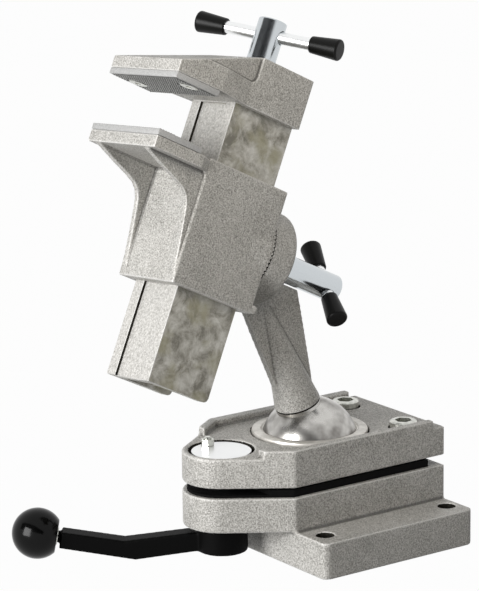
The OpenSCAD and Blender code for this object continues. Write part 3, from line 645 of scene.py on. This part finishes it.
headCasting = {"backFace": -1.25, "voxel": 0.7, "passes": 0, "panelRound": 4.0,
               "panelFront": -67.1, "panelTop": 31.0, "panelIn": 27.0, "panelOut": 28.45, "lap": 0.1,
               "flareFrom": -20, "flareTo": -1.7, "flareLow": 28.3, "flareHigh": 30.6, "wallAt": 27.4}
castLug = {"radius": 2.6, "length": 8, "round": 0.5, "aside": 24.5, "behind": 0.6, "below": -37.2}
bm = solidCopy("jaw_body", headFrame)
for side in (-1, 1):
    h = headCasting
    # each side wall flares out to the boss
    flare = spunShape([(0, h["flareFrom"]), (h["flareLow"], h["flareFrom"]), (h["flareHigh"], h["flareTo"]),
                       (0, h["flareTo"])], 96)
    bmesh.ops.transform(flare, matrix=alongY, verts=flare.verts)
    cutFlat(flare, (h["wallAt"], 0, 0), (1, 0, 0))
    bmesh.ops.transform(flare, matrix=Matrix.Scale(side, 4, (1, 0, 0)), verts=flare.verts)
    bmesh.ops.recalc_face_normals(flare, faces=flare.faces)
    addShape(bm, flare)
    # the sunk side panel turns its upper corner in a round
    r, lap, front, top = (h[k] for k in ("panelRound", "lap", "panelFront", "panelTop"))
    web = boxShape((h["panelIn"], front - r - lap, top - r - lap),
                   (h["panelOut"], front + 2 * lap, top + 2 * lap))
    start, end = h["panelIn"] - r, h["panelOut"] + r
    drill = spunShape([(0, start), (r, start), (r, end), (0, end)], 64)
    bmesh.ops.transform(drill, matrix=Matrix.Translation((0, front - r, top - r)) @ alongX,
                        verts=drill.verts)
    web = cutAway(web, drill)
    bmesh.ops.transform(web, matrix=Matrix.Scale(side, 4, (1, 0, 0)), verts=web.verts)
    bmesh.ops.recalc_face_normals(web, faces=web.faces)
    addShape(bm, web)
bm = castSkin(bm, headCasting["voxel"], headCasting["passes"])
cutFlat(bm, (0, headCasting["backFace"], 0), (0, -1, 0))
for side in (-1, 1):
    c, half = castLug, castLug["length"] / 2
    lug = softenEdges(spunShape([(0, -half), (c["radius"], -half), (c["radius"], half), (0, half)], 32),
                      c["round"])
    addShape(bm, lug, Matrix.Translation((side * c["aside"], c["behind"], c["below"])) @ alongX)
addShape(bm, toothedRing(1, 0, 1))
placePiece("jawBody", bm, "head", ["jaw_body"], [litAndShadedPaint, hammerPaint, paintedShade], headFrame, 50, False)

# ball arm: painted neck over a turned ball, cut above the ball's collar so that a dark seam is left
armCasting = {"voxel": 0.6, "passes": 1, "seam": 32.3, "tooth": 0.9, "ball": 32.5,
              "collar": 14.9, "collarLow": 26, "collarTop": 31.0, "recess": 14.0, "plug": 0.7}
bm = castSkin(solidCopy("ball_arm", neckFrame), armCasting["voxel"], armCasting["passes"])
cutFlat(bm, (0, 0, armCasting["seam"]), (0, 0, 1))
toDisc = Matrix.Scale(1000, 4) @ neckFrame.inverted() @ discFrame @ Matrix.Scale(mm, 4)
cutFlat(bm, toDisc @ Vector((0, armCasting["tooth"], 0)), toDisc.to_3x3() @ Vector((0, 1, 0)))
addShape(bm, toothedRing(-1, 1, 3), toDisc)
ball = bmesh.new()
bmesh.ops.create_uvsphere(ball, u_segments=96, v_segments=64, radius=armCasting["ball"])
addShape(bm, paintFaces(ball, 1))
a = armCasting
plugTop = a["seam"] + a["plug"]  # hidden in the neck
collar = spunShape([(0, a["collarLow"]), (a["collar"], a["collarLow"]), (a["collar"], a["collarTop"]),
                    (a["recess"], a["collarTop"]), (a["recess"], plugTop), (0, plugTop)], 96)
# the collar's top shoulder and recess under the neck rim take painted shade for a dark seam
for face in collar.faces:
    face.material_index = 2 if face.calc_center_median().z > a["collarTop"] - 0.1 else 1
addShape(bm, collar)
placePiece("ballArm", bm, "arm", ["ball_arm"], [litAndShadedPaint, turnedBall, paintedShade, hammerPaint], neckFrame,
           50, False)

# upper jaw and bar
upperCasting = {"voxel": 0.6, "passes": 0, "barCorner": 0.55, "panel": 13.2, "front": -55.0,
                "legEnd": -8.6, "legRoom": 0.25}
bm = castSkin(solidCopy("sliding_jaw", headFrame), upperCasting["voxel"], upperCasting["passes"])
placePiece("slidingJaw", bm, "jaw", ["sliding_jaw"], [litAndShadedPaint], headFrame, 180, False)
bm = breakCorners(crispCopy("guide_bar", headFrame), upperCasting["barCorner"], 2)
# its leg ends are kept clear of the poured wall behind them
legEnds = [v for v in bm.verts if v.co.y > upperCasting["legEnd"]]
bmesh.ops.translate(bm, vec=(0, -upperCasting["legRoom"], 0), verts=legEnds)
for face in bm.faces:
    middle = face.calc_center_median()
    atFront = middle.y < upperCasting["front"]
    inPanel = abs(middle.x) < upperCasting["panel"]
    if face.normal.y < -0.9 and atFront:
        face.material_index = 1 if inPanel else 2
    # the side walls of the sunk panel take painted shade (index 3)
    if abs(face.normal.x) > 0.9 and atFront and inPanel:
        face.material_index = 3
placePiece("guideBar", bm, "jaw", ["guide_bar"], [bareCast, sandSkin, milledBand, paintedShade], headFrame, 50)
print("head castings cut")

# jaw pads: blasted blocks, the clamping face cut into small pyramids round two countersinks
padSize = {"width": 70, "front": -115.9, "rear": -80.5, "thick": 4.7, "edge": 0.6, "margin": 1.4,
           "columns": 31, "rows": 15, "pyramid": 0.7, "screwAt": 26.5, "screwRow": -98.2,
           "sinkMouth": 6.5, "sinkBore": 3.05, "sinkDeep": 3.3, "sinkPast": 0.3, "drillDeep": 8,
           "plainRound": 7.3, "lift": 0.01}


def jawPad(low, facing):
    p = padSize
    high = low + p["thick"]
    faceAt = high if facing > 0 else low
    root = faceAt - facing * p["pyramid"]
    bm = boxShape((-p["width"] / 2, p["front"], min(root, low if facing > 0 else high)),
                  (p["width"] / 2, p["rear"], max(root, low if facing > 0 else high)))
    softenEdges(bm, p["edge"])
    for side in (-1, 1):
        mouth, bore, past, deep = p["sinkMouth"], p["sinkBore"], p["sinkPast"], p["drillDeep"]
        sink = spunShape([(0, past), (mouth, past), (mouth, 0), (bore, -p["sinkDeep"]), (bore, -deep),
                          (0, -deep)], 48)
        flip = Matrix.Identity(4) if facing > 0 else turned("X", 180)
        bmesh.ops.transform(sink,
                            matrix=Matrix.Translation((side * p["screwAt"], p["screwRow"], faceAt)) @ flip,
                            verts=sink.verts)
        bm = cutAway(bm, sink)
    teeth = bmesh.new()
    bmesh.ops.create_grid(teeth, x_segments=p["columns"], y_segments=p["rows"], size=0.5)
    wide = p["width"] - 2 * p["margin"]
    deep = p["rear"] - p["front"] - 2 * p["margin"]
    bmesh.ops.scale(teeth, vec=(wide, deep, 1), verts=teeth.verts)
    bmesh.ops.translate(teeth, vec=(0, p["screwRow"], 0), verts=teeth.verts)
    heads = [Vector((s * p["screwAt"], p["screwRow"], 0)) for s in (-1, 1)]
    near = [f for f in teeth.faces
            if min((f.calc_center_median() - h).length for h in heads) < p["plainRound"]]
    bmesh.ops.delete(teeth, geom=near, context="FACES")
    ridge = teeth.verts.layers.float.new("ridge")
    points = bmesh.ops.poke(teeth, faces=teeth.faces[:], offset=p["pyramid"] - 2 * p["lift"],
                            center_mode="MEAN")["verts"]
    # pyramid tips get ridge 1: the finish keeps them pale and paints shade in the grooves
    for point in points:
        point[ridge] = 1.0
    paintFaces(teeth, 1)
    if facing < 0:
        bmesh.ops.transform(teeth, matrix=turned("X", 180), verts=teeth.verts)
        bmesh.ops.translate(teeth, vec=(0, 2 * p["screwRow"], 0), verts=teeth.verts)
    addShape(bm, teeth, Matrix.Translation((0, 0, root + facing * p["lift"])))
    return bm


padUnder = {"lower": 39.05, "upper": 75.35}
placePiece("lowerPad", jawPad(padUnder["lower"], 1), "head", ["lower_pad"], [blastedPad, knurlPadGrooveShade],
           headFrame, 25, False)
placePiece("upperPad", jawPad(padUnder["upper"], -1), "jaw", ["upper_pad"], [blastedPad, knurlPadGrooveShade],
           headFrame, 25, False)

padScrew = {"head": 5.9, "rim": 0.3, "sunk": 0.25, "sink": 3.15, "shank": 3.0, "reach": 9.7, "key": 2.31,
            "keyDepth": 2.35}


def padScrews(top, facing):
    s = padScrew
    bm = bmesh.new()
    for side in (-1, 1):
        face, low = -s["sunk"], -s["reach"]
        screw = spunShape([(0, face), (s["head"] - s["rim"], face), (s["head"], 2 * face),
                           (s["shank"], face - s["sink"]), (s["shank"], low), (0, low)], 48)
        screw = cutAway(screw, prism(s["key"], 6, face - s["keyDepth"], 1))
        flip = Matrix.Identity(4) if facing > 0 else turned("X", 180)
        addShape(bm, screw,
                 Matrix.Translation((side * padSize["screwAt"], padSize["screwRow"], top)) @ flip)
    return bm


placePiece("lowerPadScrews", padScrews(padUnder["lower"] + padSize["thick"], 1), "head",
           ["lower_pad_screws"], [zincPlate], headFrame)
placePiece("upperPadScrews", padScrews(padUnder["upper"], -1), "jaw", ["upper_pad_screws"], [zincPlate],
           headFrame)
print("pads set")

# tommy bars with tapered caps
tommy = {"rod": 4.0, "chamfer": 0.8, "capLength": 20.4, "capNeck": 5.45, "capEnd": 7.1, "round": 1.6,
         "seat": 4, "capBore": 4.05, "lip": 1.2, "neckRound": 0.6,
         "spindleLength": 102, "swivelLength": 66.8}


def tommyRod(length):
    half = length / 2 - tommy["seat"]
    rod, c = tommy["rod"], tommy["chamfer"]
    return spunShape([(0, -half), (rod - c, -half), (rod, -half + c), (rod, half - c), (rod - c, half),
                      (0, half)], 40)


def tommyCaps(length):
    neck, wide, long = tommy["capNeck"], tommy["capEnd"], tommy["capLength"]
    bm = bmesh.new()
    for side in (0, 180):
        start = length / 2 - long
        bore, end = tommy["capBore"], length / 2
        cap = spunShape([(bore, start + tommy["lip"]), (bore, start), (neck, start), (wide, end), (0, end)],
                        56)
        ends = [e for e in cap.edges if e.calc_face_angle(0) > 0.9]
        outer = [e for e in ends if e.verts[0].co.z > start + long - 0.1]
        bmesh.ops.bevel(cap, geom=outer, offset=tommy["round"], offset_type="OFFSET", affect="EDGES",
                        segments=5, profile=0.5, material=-1)
        inner = [e for e in cap.edges if e.calc_face_angle(0) > 0.9 and abs(e.verts[0].co.z - start) < 0.01]
        inner = [e for e in inner if e.verts[0].co.to_2d().length > (bore + neck) / 2]
        bmesh.ops.bevel(cap, geom=inner, offset=tommy["neckRound"], offset_type="OFFSET", affect="EDGES",
                        segments=3, profile=0.5, material=-1)
        addShape(bm, cap, turned("X", side))
    return bm


barPlace = {"spindleUp": 133.9, "spindleTurn": 26.7, "swivelBack": 72.8, "swivelTurn": 43,
            "swivelShift": -1.7}
b = barPlace
spindleBarFrame = spindleFrame @ moved(0, 0, b["spindleUp"]) @ turned("Z", b["spindleTurn"]) @ alongX
swivelMouth = headFrame @ moved(0, b["swivelBack"], 0) @ turned("Y", b["swivelTurn"])
swivelBarFrame = swivelMouth @ moved(b["swivelShift"], 0, 0) @ alongX
placePiece("spindleBar", tommyRod(tommy["spindleLength"]), "screw_tommy", ["spindle_bar"], [lappedSteel],
           spindleBarFrame)
placePiece("spindleCaps", tommyCaps(tommy["spindleLength"]), "screw_tommy", ["spindle_caps"], [capPlastic],
           spindleBarFrame)
placePiece("swivelBar", tommyRod(tommy["swivelLength"]), "swivel_tommy", ["swivel_bar"], [lappedSteel],
           swivelBarFrame)
placePiece("swivelCaps", tommyCaps(tommy["swivelLength"]), "swivel_tommy", ["swivel_caps"], [capPlastic],
           swivelBarFrame)

# hole across a screw head, countersunk at both mouths
crossHole = {"radius": 4.1, "mouth": 6.2, "deep": 8.1, "half": 12.8}


def boredAcross(bm, place):
    c = crossHole
    drill = spunShape([(0, -c["half"]), (c["mouth"], -c["half"]), (c["radius"], -c["deep"]),
                       (c["radius"], c["deep"]), (c["mouth"], c["half"]), (0, c["half"])], 48)
    bmesh.ops.transform(drill, matrix=place, verts=drill.verts)
    return cutAway(bm, drill)


# spindle: chromed head over a trapezoid thread
spindle = {"head": 9.4, "top": 143.7, "foot": 113.05, "round": 0.9, "major": 7.95, "root": 6.1,
           "pitch": 4.0, "turns": 44, "low": -85.0, "land": 1.2, "flank": 0.5, "steps": 24,
           "journal": 94, "tip": 0.4}
s = spindle
bm = softenEdges(spunShape([(0, s["foot"]), (s["head"], s["foot"]), (s["head"], s["top"]), (0, s["top"])]),
                 s["round"])
bm = boredAcross(bm, Matrix.Translation((0, 0, b["spindleUp"])) @ turned("Z", b["spindleTurn"]) @ alongX)
screwThread = bmesh.new()
land, flank, root, major = s["land"], s["flank"], s["root"], s["major"]
toothForm = ((root, 0), (root, land), (major, land + flank), (major, 2 * land + flank),
             (root, 2 * land + 2 * flank), (root, s["pitch"]))
points = [screwThread.verts.new((r, 0, s["low"] + h)) for r, h in toothForm]
lines = [screwThread.edges.new(pair) for pair in zip(points, points[1:])]
bmesh.ops.spin(screwThread, geom=points + lines, cent=(0, 0, 0), axis=(0, 0, 1),
               dvec=(0, 0, s["pitch"] / s["steps"]), angle=2 * math.pi * s["turns"],
               steps=s["steps"] * s["turns"])
bmesh.ops.remove_doubles(screwThread, verts=screwThread.verts, dist=0.01)
bmesh.ops.recalc_face_normals(screwThread, faces=screwThread.faces)
addShape(bm, paintFaces(screwThread, 1))
# the core lies just under the thread and runs into the head
inner, low, high = root - 0.05, s["low"] - s["tip"], s["foot"] + 1
core = spunShape([(0, low), (inner, low), (inner, s["journal"]), (major, s["journal"]), (major, high),
                  (0, high)], 48)
softenEdges(core, flank)
addShape(bm, paintFaces(core, 1))
placePiece("spindle", bm, "screw", ["spindle"], [chromePlate, oiledSteel], spindleFrame)

# swivel screw: chromed head behind the disc, plain shank through it
swivel = {"head": 9.2, "seat": 30.35, "end": 80.7, "shank": 6.98, "tip": -17, "chamfer": 1, "round": 0.8}
s = swivel
bm = spunShape([(0, s["tip"]), (s["shank"] - s["chamfer"], s["tip"]), (s["shank"], s["tip"] + s["chamfer"]),
                (s["shank"], s["seat"]), (s["head"], s["seat"]), (s["head"], s["end"]), (0, s["end"])])
softenEdges(bm, s["round"], 3, 60)
acrossSwivel = alongY.inverted() @ turned("Y", b["swivelTurn"]) @ alongX
bm = boredAcross(bm, Matrix.Translation((0, 0, b["swivelBack"])) @ acrossSwivel)
placePiece("swivelScrew", bm, "swivel", ["swivel_screw"], [chromePlate], headFrame @ alongY)
print("spindle and swivel set")

# clamp bolt with its lapped disc head, lock stud and nut
boltHead = {"radius": 19.6, "top": 72.4, "under": 66.4, "shank": 6.0, "low": 6.6, "round": 0.5}
s = boltHead
bm = spunShape([(0, s["low"]), (s["shank"], s["low"]), (s["shank"], s["under"]), (s["radius"], s["under"]),
                (s["radius"], s["top"]), (0, s["top"])], 96)
softenEdges(bm, s["round"])
for face in bm.faces:
    if face.calc_center_median().z < s["under"] - s["round"]:
        face.material_index = 1
placePiece("clampBolt", bm, "plate", ["clamp_bolt"], [lappedSteel, chromePlate], clampFrame)
lockStud = {"aside": -15.3, "radius": 2.5, "low": 57.9, "top": 78.0, "chamfer": 0.7}
lockNut = {"corners": 4.62, "low": 72.45, "top": 76.45, "bore": 2.52, "round": 0.35}
s, n = lockStud, lockNut
stud = spunShape([(0, s["low"]), (s["radius"], s["low"]), (s["radius"], s["top"] - s["chamfer"]),
                  (s["radius"] - s["chamfer"], s["top"]), (0, s["top"])], 32)
placePiece("lockStud", stud, "plate", ["lock_stud"], [zincPlate], clampFrame @ moved(s["aside"], 0, 0))
nut = prism(n["corners"], 6, n["low"], n["top"])
nut = cutAway(nut, prism(n["bore"], 32, n["low"] - 2, n["top"] + 2))
nut = softenEdges(nut, n["round"], 2, 50)
placePiece("lockNut", nut, "plate", ["lock_nut"], [zincPlate], clampFrame @ moved(s["aside"], 0, 0))

# rear socket screws
rearScrew = {"aside": 31.3, "back": 53.6, "head": 9.0, "under": 65.7, "top": 77.7, "shank": 6.0,
             "low": 20.0, "key": 5.77, "keyFloor": 71.7, "keyTurn": 12,
             "rimDown": 1.0, "midIn": 0.7, "midDown": 0.2, "faceIn": 1.3}
s = rearScrew
bm = bmesh.new()
for side in (-1, 1):
    screw = spunShape([(0, s["low"]), (s["shank"], s["low"]), (s["shank"], s["under"]),
                       (s["head"], s["under"]), (s["head"], s["top"] - s["rimDown"]),
                       (s["head"] - s["midIn"], s["top"] - s["midDown"]),
                       (s["head"] - s["faceIn"], s["top"]), (0, s["top"])])
    screw = cutAway(screw, prism(s["key"], 6, s["keyFloor"], s["top"] + s["head"], s["keyTurn"]))
    addShape(bm, screw, Matrix.Translation((side * s["aside"], s["back"], 0)))
placePiece("rearScrews", bm, "base", ["rear_screws"], [zincPlate], Matrix())

# seat ring, turned with a rounded outer lip and a relief groove beside the ball
seatRing = {"outer": 38.4, "flange": 41.0, "top": 75.3, "low": 54.5, "flangeTop": 57.3, "bore": 30.5,
            "lip": 1.8, "lipMidIn": 0.5, "lipMidDown": 0.6,
            "reliefOut": 1.9, "reliefMid": 1.1, "reliefIn": 0.35, "reliefDeep": 0.9,
            "seatLow": 31.4, "seatMid": 32.6, "seatMidAt": 63.6, "seatTop": 32.4, "seatTopAt": 66}
s = seatRing
reliefFloor = s["top"] - s["reliefDeep"]
bm = spunShape([(s["seatLow"], s["low"]), (s["flange"], s["low"]), (s["flange"], s["flangeTop"]),
                (s["outer"], s["flangeTop"]), (s["outer"], s["top"] - s["lip"]),
                (s["outer"] - s["lipMidIn"], s["top"] - s["lipMidDown"]), (s["outer"] - s["lip"], s["top"]),
                (s["bore"] + s["reliefOut"], s["top"]), (s["bore"] + s["reliefMid"], reliefFloor),
                (s["bore"] + s["reliefIn"], reliefFloor), (s["seatTop"], s["seatTopAt"]),
                (s["seatMid"], s["seatMidAt"]), (s["seatLow"], s["low"])], 96)
placePiece("seatRing", bm, "ring", ["seat_ring"], [ringMetal], Matrix())

# lever and knob
lever = {"voxel": 0.75, "passes": 4, "slope": 0.172, "drop": 0.11, "start": 19, "bend": 60, "end": 120,
         "hub": 11.7}
ballKnob = {"radius": 16.7, "flatAt": -12.9, "round": 0.5, "bushIn": 4.0, "bushOut": 5.6, "bushLow": -13.4,
            "bushTop": -12.6}
bm = castSkin(solidCopy("clamp_lever", leverFrame), lever["voxel"], lever["passes"])
placePiece("clampLever", bm, "lever", ["clamp_lever"], [leverEnamel], leverFrame, 180, False)
knob = bmesh.new()
bmesh.ops.create_uvsphere(knob, u_segments=72, v_segments=48, radius=ballKnob["radius"])
cut = bmesh.ops.bisect_plane(knob, geom=knob.verts[:] + knob.edges[:] + knob.faces[:],
                             plane_co=(0, 0, ballKnob["flatAt"]), plane_no=(0, 0, 1), clear_inner=True)
rim = [e for e in cut["geom_cut"] if isinstance(e, bmesh.types.BMEdge)]
bmesh.ops.contextual_create(knob, geom=rim)
knob = softenEdges(knob, ballKnob["round"], 3, 25)
k = ballKnob
bush = spunShape([(k["bushIn"], k["bushLow"]), (k["bushOut"], k["bushLow"]), (k["bushOut"], k["bushTop"]),
                  (k["bushIn"], k["bushTop"])], 40)
addShape(knob, paintFaces(bush, 1))
s = lever
leverLift = math.degrees(math.atan(s["slope"]))
knobZ = s["hub"] - (s["bend"] - s["start"]) * s["drop"] + (s["end"] - s["bend"]) * s["slope"]
placePiece("ballKnob", knob, "lever", ["ball_knob"], [knobResin, zincPlate],
           leverFrame @ moved(s["end"], 0, knobZ) @ turned("Y", -leverLift) @ alongX)
print("lever and knob set")

# solids that stay as they are, with their own finishes
for node, finish in (("gap_liner", linerRubberAndGapShade), ("spindle_nut", nutBronze),
                     ("spindle_collar", oiledSteel)):
    for place in solids[node].material_slots:
        place.material = finish

# floor sheet, and a dark flag above the lens for the mirrors to pick up
flagAt, flagAim, flagShift = Vector((0.62, -2.38, 1.89)), Vector((0, -0.06, 0.33)), -1.76
flagTurn = (flagAim - flagAt).to_track_quat("Z", "Y").to_matrix().to_4x4()
flagTurn = flagTurn @ Matrix.Translation((flagShift, 0, 0))
stageCards = {"floorSheet": {"size": (6.0, 6.0), "finish": floorPaper,
                             "place": Matrix.Translation((0, 0, -0.0005))},
              "lensFlag": {"size": (4.8, 0.75), "finish": flagCloth,
                           "place": Matrix.Translation(flagAt) @ flagTurn}}
for name, card in stageCards.items():
    sheet = bmesh.new()
    bmesh.ops.create_grid(sheet, x_segments=1, y_segments=1, size=1,
                          matrix=card["place"] @ Matrix.Diagonal((*card["size"], 1, 1)))
    sheetMesh = bpy.data.meshes.new(name)
    sheet.to_mesh(sheetMesh)
    sheet.free()
    sheetMesh.materials.append(card["finish"])
    sheetObject = bpy.data.objects.new(name, sheetMesh)
    isFloor = name == "floorSheet"
    sheetObject.visible_camera = isFloor
    sheetObject.visible_diffuse = isFloor
    sheetObject.visible_shadow = isFloor
    scene.collection.objects.link(sheetObject)

print("pieces placed")
